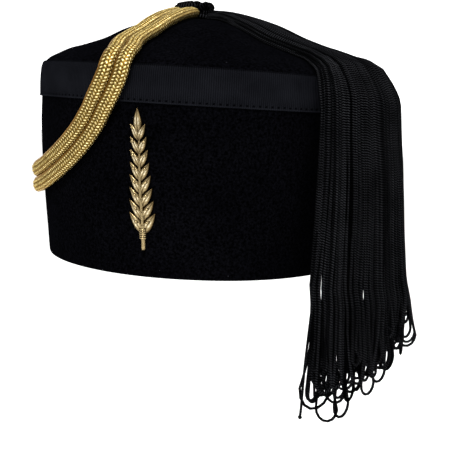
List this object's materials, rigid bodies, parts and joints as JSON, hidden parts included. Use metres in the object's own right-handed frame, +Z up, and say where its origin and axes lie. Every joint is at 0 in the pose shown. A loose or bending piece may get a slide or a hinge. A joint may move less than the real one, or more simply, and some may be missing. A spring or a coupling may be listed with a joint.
{
  "type": "fez hat",
  "caption": "Brimless felt hat with a low domed top, ribbed ribbon band, paired gold cords swagged round one side, a long looped side tassel and a gilt leaf badge.",
  "frame": {"origin": "middle of the rim's plane, where the head goes in and holds the hat up", "axes": "+Z up through the dome; the front with the badge faces -Y; the tassel hangs on +X, the wearer's left"},
  "size_m": [0.2303, 0.2244, 0.2289],
  "materials": {
    "felt_black": "matt wool felt with a short fuzz",
    "ribbon_black": "fine ribbed ribbon, soft sheen",
    "gold_braid": "plaited gilt metal thread, glittering",
    "tassel_black": "twisted rayon cord, silky",
    "gilt_metal": "gilt, lightly worn"
  },
  "bodies": {
    "root": {"crown": "felt_black", "ribbon_band": "ribbon_black", "gold_cord_upper": "gold_braid", "gold_cord_lower": "gold_braid", "top_knot": "tassel_black", "tassel": "tassel_black", "leaf_badge": "gilt_metal"}
  },
  "joints": []
}
